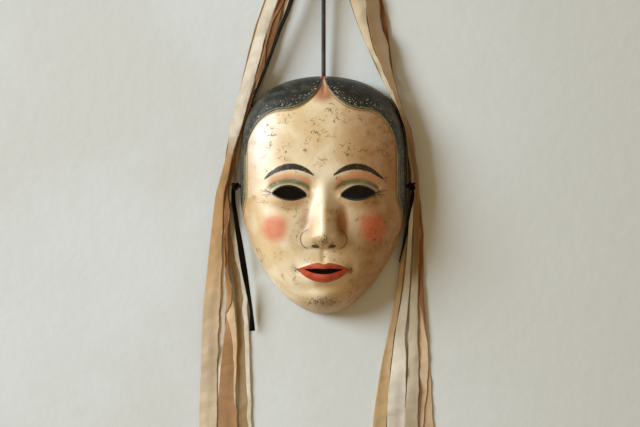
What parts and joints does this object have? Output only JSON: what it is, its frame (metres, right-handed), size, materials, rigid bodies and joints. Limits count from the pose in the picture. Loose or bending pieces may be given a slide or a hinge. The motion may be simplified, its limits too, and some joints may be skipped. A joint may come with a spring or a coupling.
{
  "type": "painted wooden face mask",
  "caption": "Carved and painted wooden face mask of a woman, lying face up, with tie tapes, a hanging cord and long cloth ribbons gathered above it.",
  "frame": {"origin": "on the surface it lies on, under the middle of the face, at the centre of the whole spread of the object", "axes": "+Z out of the face, +Y towards the crown, +X to the right as one looks at the face"},
  "size_m": [0.231, 0.64, 0.0644],
  "materials": {
    "painted_wood": "satin lacquer over gesso, crackled and worn",
    "black_tape": "matte woven tape",
    "brown_cord": "matte twisted cord",
    "cloth_grey": "thin plain-woven cotton, creased",
    "cloth_cream": "thin plain-woven cotton, creased",
    "cloth_white": "thin plain-woven cotton, creased",
    "cloth_peach": "thin plain-woven cotton, creased",
    "cloth_tan": "thin plain-woven cotton, creased",
    "cloth_rust": "thin plain-woven cotton, creased",
    "cloth_olive": "thin plain-woven cotton, creased"
  },
  "bodies": {
    "root": {"mask_shell": "painted_wood", "tie_tape_left": "black_tape", "tie_tape_right": "black_tape", "hanging_cord": "brown_cord", "hanging_tape": "black_tape", "cord_binding": "brown_cord", "strip_left_grey": "cloth_grey", "strip_left_cream": "cloth_cream", "strip_left_white": "cloth_white", "strip_left_peach": "cloth_peach", "strip_right_tan": "cloth_tan", "strip_right_rust": "cloth_rust", "strip_right_olive": "cloth_olive", "strip_right_white": "cloth_white"}
  },
  "joints": []
}
